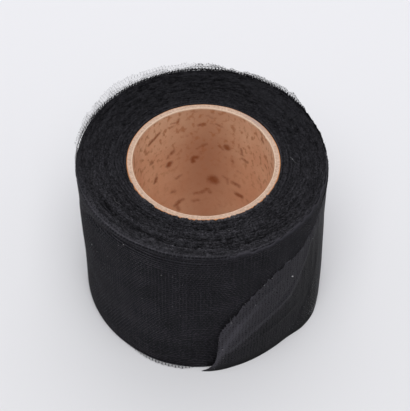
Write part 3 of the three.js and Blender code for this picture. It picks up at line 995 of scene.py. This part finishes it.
def build_loose_net():
    bearing, height, stand_off, place, top, foot = loose_surface()
    shape = bearing.shape
    from_cut = np.arange(LOOSE_DOWN)[None, :] * (top - foot)[:, None] / LOOSE_DOWN
    on_cut = smooth(*CUT_ROWS, place)[:, None]
    at_cut = np.exp(-from_cut / 5) * on_cut
    radius = WINDING_RADIUS + CLEARANCE + LOOSE_SLACK + NET_THICKNESS * (0.85 - 0.6 * at_cut) + stand_off
    relief = 0.10 * grain(shape, (14, 8), 31) + fold_relief(bearing, height, LOOSE_FOLDS)
    above = smooth(ROLL_HEIGHT - 3, ROLL_HEIGHT + 1, height)
    sway = np.sin(np.radians(bearing * 9)) * 0.35 + np.sin(np.radians(bearing * 23 + 40)) * 0.2
    relief = relief * (1 - above) + above * (sway + 0.1 * grain(shape, (4, 4), 32))
    ribs = np.sin(np.radians(bearing * 62)) * 0.09
    tail = smooth(-5, -25, bearing) * smooth(-92, -80, bearing)
    relief = relief + ribs * tail * smooth(2, 12, height)
    relief = np.maximum(relief, -0.45 + 0.35 * at_cut)
    # Teeth along the upper edge, deepest along the cut
    jag = np.abs(grain((LOOSE_STEPS, 4), (0.5, 0), 33)[:, :1]) * (0.3 + 0.7 * on_cut)
    jag = CUT_JAG * jag * np.exp(-np.arange(LOOSE_DOWN) / 1.5)
    height = np.maximum(height - jag * smooth(0, 3, height), 0)
    points = polar(radius + relief, bearing, height)
    faces, corner_row, corner_column = grid_faces(*shape)
    flat_along = np.radians(LEAVES_AT - bearing) * (WINDING_RADIUS + 1)
    uv = np.stack([flat_along[corner_row, corner_column], height[corner_row, corner_column]], axis=-1)
    streaks = np.max([light for light, _ in humps(bearing, height, STREAKS)], axis=0)
    # Least gathered at the corner that flares out over the floor
    corner = smooth(-31, -26, bearing) * (1 - smooth(-12, -8, bearing)) * (1 - smooth(3, 10, height))
    shaded = smooth(2, -8, height - np.interp(bearing, FOLD_LINE_AT, FOLD_LINE_UP)) * smooth(-8, -30, bearing)
    drawn = (1.12 + 0.4 * smooth(-26, -8, bearing)) * (1 - smooth(58, 88, bearing))
    drawn = veiled(drawn, bearing, height)
    hem = (1 - smooth(1, 7, height)) * smooth(-8, -30, bearing)
    speckle = np.abs(grain(shape, (0.5, 0.8), 34))
    frayed_highlight = (0.85 * np.exp(-from_cut / 0.9) + 0.2 * np.exp(-from_cut / 3.5)) * speckle * on_cut
    free = smooth(ROLL_HEIGHT - 1, ROLL_HEIGHT + 1, height) * smooth(24, 40, bearing)
    rim_light = hump(bearing, -6, 16) * (1 - smooth(1, 9, from_cut))
    # Painted light and shade: highlights along the streaks, the frayed cut and the rim; shade below the fold
    # line and along the foot; and darker away from the tip
    lit = streaks + frayed_highlight + 0.25 * rim_light - 0.28 * shaded - 0.25 * hem
    lit = lit - 0.12 * smooth(-40, -22, bearing) - 0.07 * smooth(-72, -58, bearing)
    marks = {
        "gathered": (drawn + 1.2 * hem + 0.4 * streaks) * (1 - 0.6 * corner),
        "lit": lit,
        "free": free,
    }
    inward = points[:, 3] - points[:, 0]
    build_cut_threads(points[:, 0], inward / np.linalg.norm(inward, axis=1, keepdims=True))
    faces, uv = faces[:, ::-1], uv[:, ::-1]
    piece = mesh_piece("loose_net", points, faces, LOOSE_NET, uv, marks)
    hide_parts("loose_turn")
    return piece


# Thread ends along the cut, and lint

THREAD_STEPS = 5
THREAD_CORNERS = (0, math.tau / 3, 2 * math.tau / 3)
# Where the slanting cut begins, as a share of the way along the upper edge
CUT_FROM = 0.58
CUT_THREADS = 170
EDGE_THREADS = 170


def thread_piece(name, paths, thickness, material):
    """Three-sided threads along paths, which are given in millimetres as thread, step, place."""
    count, steps = paths.shape[:2]
    along = np.gradient(paths, axis=1)
    along /= np.linalg.norm(along, axis=2, keepdims=True)
    side = np.cross(along, (0.31, 0.17, 0.93))
    side /= np.linalg.norm(side, axis=2, keepdims=True)
    third = np.cross(along, side)
    taper = np.linspace(1, 0.45, steps)[:, None, None]
    ring = [math.cos(angle) * side + math.sin(angle) * third for angle in THREAD_CORNERS]
    half = np.reshape(thickness, (-1, 1, 1, 1)) / 2
    points = paths[:, :, None] + np.stack(ring, axis=2) * half * taper
    faces, _, _ = grid_faces(steps, 3, False, True)
    faces = np.concatenate([faces + number * steps * 3 for number in range(count)])
    return mesh_piece(name, points, faces, material)


def build_cut_threads(edge, inward):
    """Thread ends that stick out of an edge, given its points and directions into the net."""
    chance = np.random.default_rng(51)
    reach = np.linspace(0, 1, THREAD_STEPS)[:, None]
    paths = []
    widths = []
    for number in range(CUT_THREADS + EDGE_THREADS):
        cut = number < CUT_THREADS
        place = chance.uniform(CUT_FROM, 1) if cut else chance.uniform(0, CUT_FROM)
        row = int(place * (len(edge) - 1))
        away = -inward[row] + chance.normal(0, 0.35, 3)
        length = chance.uniform(0.4, 1.5) if cut else chance.uniform(0.2, 1.0)
        bend = chance.normal(0, 0.3, 3) * length
        paths.append(edge[row] - away * 0.3 + away * length * reach + bend * reach**2)
        widths.append(chance.uniform(0.10, 0.24))
    paths = np.array(paths)
    paths[..., 2] = np.maximum(paths[..., 2], 0.15)
    return thread_piece("cut_threads", paths, np.array(widths), THREAD)


# Specks of lint: bearing, height, how far out from the axis, size and how many times as long
SPECKS = [
    (-47, 67.1, 70.9, 0.75, 1.7), (-62.9, 75.3, 71.6, 0.35, 1.2), (-77, 50, 72.6, 0.4, 1.3),
    (-58.9, 77.9, 71.3, 0.3, 1.0), (-66.2, 59.8, 71.8, 0.3, 1.0), (-32.7, 81.9, 69.4, 0.3, 1.0),
    (-80, 23.9, 72.2, 0.35, 1.0), (-79.7, 14.5, 71.9, 0.3, 1.2), (-149.9, 68.9, 68.6, 0.35, 1.4),
    (-145.1, 69.1, 68.5, 0.3, 1.0), (-126.3, 95.7, 67.6, 0.4, 1.5), (-129.4, 91.9, 67.5, 0.3, 1.0),
    (-121, 93.7, 67.6, 0.3, 1.0), (-136.8, 75, 68.2, 0.25, 1.0), (-126.9, 82.3, 68.1, 0.25, 1.0),
    (-139.7, 64.2, 68.2, 0.25, 1.0), (-130.5, 69.6, 68.1, 0.25, 1.0), (-107.6, 84, 67.9, 0.4, 1.2),
    (-102.6, 84.6, 67.9, 0.25, 1.0), (-98.2, 79, 67.9, 0.3, 1.0), (-117.5, 56.5, 68.0, 0.25, 1.0),
    (-99.1, 66.1, 67.9, 0.3, 1.0), (-102.8, 58.2, 67.9, 0.25, 1.0), (-99.1, 50.1, 67.9, 0.25, 1.0),
    (-77.4, 69.8, 67.6, 0.25, 1.0), (-74.3, 101.7, 50.5, 0.35, 1.0), (0.3, 101.7, 47.4, 0.4, 1.0),
]
# Curled threads on the end: places as bearing and distance from the axis
CURLS = [
    [(-148.5, 54.2), (-146.5, 54.9), (-144, 54.6), (-142.2, 53.8), (-141.5, 54.9)],
    [(2, 46.4), (0.8, 47.8), (-0.8, 48.1), (-2.2, 49.0), (-2.9, 50)],
    [(-75.2, 50.1), (-74.8, 50.6), (-74.2, 50.7), (-73.7, 50.4), (-73.5, 49.9)],
]


def build_lint():
    chance = np.random.default_rng(61)
    corner = np.array([(1, 0, 0), (0, 1, 0), (-1, 0, 0), (0, -1, 0), (0, 0, 1), (0, 0, -1)], float)
    triangles = [(0, 1, 4), (1, 2, 4), (2, 3, 4), (3, 0, 4), (1, 0, 5), (2, 1, 5), (3, 2, 5), (0, 3, 5)]
    points = []
    faces = []
    for number, (bearing, height, out, size, stretch) in enumerate(SPECKS):
        turn = chance.uniform(0, math.pi)
        shape = corner * (size * stretch / 2, size / 2, size / 2) * chance.uniform(0.7, 1.3, (6, 1))
        spin = np.array(Matrix.Rotation(turn, 3, "Y"))
        points.append(polar(out, bearing, height) + shape @ spin)
        faces += [[6 * number + index for index in triangle] for triangle in triangles]
    mesh_piece("lint_specks", np.array(points), np.array(faces), LINT)
    paths = np.array([[polar(out, bearing, ROLL_HEIGHT + 0.35) for bearing, out in curl] for curl in CURLS])
    thread_piece("lint_curls", paths, np.full(len(CURLS), 0.18), DUST)


# The tube

TUBE_ROUND = 480
WALL_STEPS = 110
FACE_STEPS = 8

# Glue that has soaked through the inside of the wall: from one place to another, width, strength
STAINS = [
    (131, 89, 137, 87, 1.4, 0.75), (137, 87, 143, 86, 1.5, 0.8), (112, 94, 113, 91.5, 1.2, 0.6),
    (113, 91.5, 119, 92, 0.8, 0.55), (117, 89, 118, 89, 1.3, 0.45), (101, 98, 97, 97.5, 1.1, 0.45),
    (94, 86.5, 90, 87, 1.6, 0.75), (87, 94.5, 83, 92.5, 0.9, 0.5), (85, 88, 80, 88, 0.7, 0.4),
    (80, 88, 75, 86.5, 0.9, 0.6), (54, 92, 53, 90, 1.5, 0.35), (33, 94.5, 31, 93.5, 1.5, 0.7),
    (88, 70.5, 91, 69, 1.4, 0.6), (91, 69, 96, 66.5, 0.9, 0.5), (70, 71, 69.5, 70, 2.2, 0.95),
    (73.5, 68, 76.5, 70, 1.2, 0.6), (56, 74, 54.5, 69.5, 1.1, 0.65), (54, 66.5, 49, 66, 1.3, 0.7),
    (64, 60.5, 63.5, 60, 1.3, 0.55), (92, 63.5, 92.5, 62, 1.7, 0.4), (99, 59, 96, 59, 1.7, 0.9),
    (99.5, 58, 99, 55.5, 1.5, 0.9), (118, 68, 119, 67, 1.5, 0.75), (122, 66.5, 123, 64, 1.0, 0.55),
    (121, 59, 122, 58, 2.0, 0.95), (141.5, 69, 139.5, 68.5, 1.4, 0.7), (171, 95, 171, 86, 1.3, 0.5),
    (135, 56, 135.5, 52.5, 1.0, 0.5), (136, 52.5, 137, 50, 1.4, 0.8), (110.5, 45, 114.5, 43.5, 1.2, 0.55),
    (81.5, 40, 80.5, 39, 3.4, 1.0), (85, 42, 83.5, 41.5, 1.2, 0.5), (71.5, 44.5, 68.5, 43, 1.3, 0.5),
    (68.5, 43, 67.5, 39, 1.1, 0.55), (62, 41.5, 56.5, 41, 1.6, 0.7), (58, 53.5, 55.5, 53.5, 1.0, 0.4),
    (97.5, 26, 91, 27, 1.4, 0.6), (91, 27, 86.5, 30, 1.5, 0.65), (85.5, 30, 83.5, 27, 1.4, 0.6),
    (119, 32, 117, 32, 1.4, 0.6), (124, 38, 123.5, 36, 1.1, 0.35), (58, 32.5, 53, 33, 1.6, 0.85),
    (98.5, 19, 94.5, 19.5, 1.4, 0.55), (108.5, 22, 112, 21, 1.5, 0.6), (112, 21, 115, 18.5, 1.7, 0.75),
    (114.5, 18, 112.5, 13, 1.3, 0.6), (75, 16.5, 73, 16, 1.4, 0.35), (46.5, 33, 45.5, 32, 1.2, 0.45),
    (33, 61, 31.5, 60.5, 1.1, 0.5), (25.5, 78, 22.5, 77.5, 1.0, 0.6), (30, 72, 29, 71.5, 0.9, 0.45),
    (40.5, 50, 39, 49.5, 1.1, 0.35), (50.5, 84, 49.5, 82.5, 1.1, 0.35), (105, 78.5, 104, 78, 1.1, 0.35),
]
# The same wall where the photo doesn't show it: how many marks of like size, by chance
HIDDEN_STAINS = 60


def stain_marks(bearing, height):
    """How far the glue has soaked through at each point, from 0 to about 1."""
    chance = np.random.default_rng(41)
    hidden = []
    for at, low in zip(chance.uniform(182, 375, HIDDEN_STAINS), chance.uniform(4, 96, HIDDEN_STAINS)):
        end_at, end = at + chance.uniform(-4, 4), low + chance.uniform(-2.5, 2.5)
        hidden.append((at, low, end_at, end, chance.uniform(0.9, 2.0), chance.uniform(0.3, 0.9)))
    depth = np.zeros(np.broadcast(bearing, height).shape)
    for *line, width, strength in STAINS + hidden:
        gap, _ = off_line(bearing, height, line, TUBE_INSIDE)
        soft = 0.6 + width * (1.3 + 0.008 * (TUBE_HEIGHT - height))
        depth = np.maximum(depth, strength * (1 - smooth(0, soft, gap)))
    return depth


def build_core():
    bearing = (360 * np.arange(TUBE_ROUND) / TUBE_ROUND)[:, None]
    wall_top = TUBE_HEIGHT - TUBE_BEVEL
    face_radii = TUBE_INSIDE + TUBE_BEVEL, TUBE_OUTSIDE - TUBE_BEVEL
    profile = [(TUBE_INSIDE, up) for up in np.linspace(TUBE_BEVEL, wall_top, WALL_STEPS + 1)]
    profile += [(out, TUBE_HEIGHT) for out in np.linspace(*face_radii, FACE_STEPS + 1)]
    profile += [(TUBE_OUTSIDE, up) for up in (wall_top, wall_top - 2, TUBE_HEIGHT / 2, TUBE_BEVEL)]
    profile += [(out, 0) for out in reversed(face_radii)]
    radius, height = np.array(profile).T
    shape = (TUBE_ROUND, len(profile))
    on_face = height >= wall_top
    # Torn fibre at the inner lip on the right, and a cut that is a little uneven all round
    torn = hump(turned(bearing, 30), 0, 9) * hump(height, TUBE_HEIGHT, 1.6) * (radius < TUBE_INSIDE + 0.6)
    shred = np.abs(grain(shape, (1.2, 0.8), 42))
    uneven = 0.06 * grain(shape, (9, 3), 43) + 0.04 * grain(shape, (2, 1), 44)
    lift = on_face * uneven + torn * shred * 0.15
    push = -torn * shred * 0.35
    points = polar(radius + push, bearing, np.clip(height + lift, 0, None))
    ply = np.clip((radius - TUBE_INSIDE) / TUBE_WALL, 0, 1)
    smear = hump(turned(bearing, 45), 0, 13) * hump(ply, 0.62, 0.3) * 0.6
    rows, columns = shape
    faces, corner_row, corner_column = grid_faces(rows, columns, True, True)
    inner_girth = 2 * math.pi * TUBE_INSIDE
    down = path_length(radius[None], height[None])[0]
    uv = np.stack([inner_girth * corner_row / rows, down[corner_column % columns]], axis=-1)
    # Painted shade: the board is painted darker down the middle of the back of the wall, deep in the tube,
    # less so near the top and the bottom
    deep_wall_shade = 0.88 * hump(turned(bearing, 88), 0, 36)
    deep_wall_shade = deep_wall_shade * (1 - 0.27 * smooth(66, 94, height)) * (1 - 0.14 * smooth(40, 15, height))
    marks = {
        "freckled": 0.2 + 0.5 * smooth(38, 88, height),
        "stain": stain_marks(bearing, height) * (radius < TUBE_INSIDE + 0.1),
        "deep_wall_shade": deep_wall_shade,
        "ply": ply,
        "face": on_face,
        "smear": smear * on_face,
    }
    piece = mesh_piece("core_board", points, faces[:, ::-1], BOARD, uv[:, ::-1], marks)
    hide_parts("core_tube")
    return piece


# Floor, light and camera

FLOOR_SIDE = 6.0


def build_floor():
    mesh = bpy.data.meshes.new("floor")
    half = FLOOR_SIDE / 2
    corners = [(-half, -half, 0), (half, -half, 0), (half, half, 0), (-half, half, 0)]
    mesh.from_pydata(corners, [], [(0, 1, 2, 3)])
    mesh.materials.append(FLOOR)
    floor = placed("floor", mesh)


def area_light(name, place, width, depth, power):
    light = bpy.data.lights.new(name, "AREA")
    light.shape = "RECTANGLE"
    light.size = width
    light.size_y = depth
    light.energy = power
    lamp = placed(name, light)
    lamp.location = place
    lamp.rotation_mode = "QUATERNION"
    lamp.rotation_quaternion = (-Vector(place)).to_track_quat("-Z", "Y")


def build_light():
    world = bpy.data.worlds.new("studio")
    world.use_nodes = True
    background = world.node_tree.nodes["Background"]
    background.inputs["Color"].default_value = rgb(0.96, 0.965, 1.0)
    background.inputs["Strength"].default_value = 0.37
    bpy.context.scene.world = world
    area_light("front_softbox", (-0.06, -1.0, 2.7), 2.2, 2.2, 58.5)
    area_light("back_softbox", (0.1, 1.3, 2.6), 2.2, 2.2, 17.0)
    bpy.context.scene.view_settings.view_transform = "Standard"


# The photograph's camera: place in millimetres, angles in radians, and focal length in pixels
CAMERA_BACK = 420.6
CAMERA_UP = 582.0
CAMERA_PITCH = 0.8913
CAMERA_YAW = 0.0031
CAMERA_ROLL = 0.0214
FOCAL_PIXELS = 1192.7
IMAGE_LONG_SIDE = 411
SENSOR = 36.0


def build_camera():
    forward = Vector((
        math.sin(CAMERA_YAW) * math.cos(CAMERA_PITCH),
        math.cos(CAMERA_YAW) * math.cos(CAMERA_PITCH),
        -math.sin(CAMERA_PITCH),
    ))
    level = Vector((math.cos(CAMERA_YAW), -math.sin(CAMERA_YAW), 0))
    upright = level.cross(forward)
    right = level * math.cos(CAMERA_ROLL) + upright * math.sin(CAMERA_ROLL)
    up = upright * math.cos(CAMERA_ROLL) - level * math.sin(CAMERA_ROLL)
    lens = bpy.data.cameras.new("camera")
    lens.sensor_width = SENSOR
    lens.lens = FOCAL_PIXELS / IMAGE_LONG_SIDE * SENSOR
    camera = placed("camera", lens)
    turn = Matrix((right, up, -forward)).transposed().to_4x4()
    camera.matrix_world = Matrix.Translation((0, -CAMERA_BACK * MM, CAMERA_UP * MM)) @ turn
    bpy.context.scene.camera = camera


build_camera()
build_light()
build_floor()
build_core()
build_winding()
build_turn_edges()
outer_turns = build_outer_turns()
loose_net = build_loose_net()
build_lint()
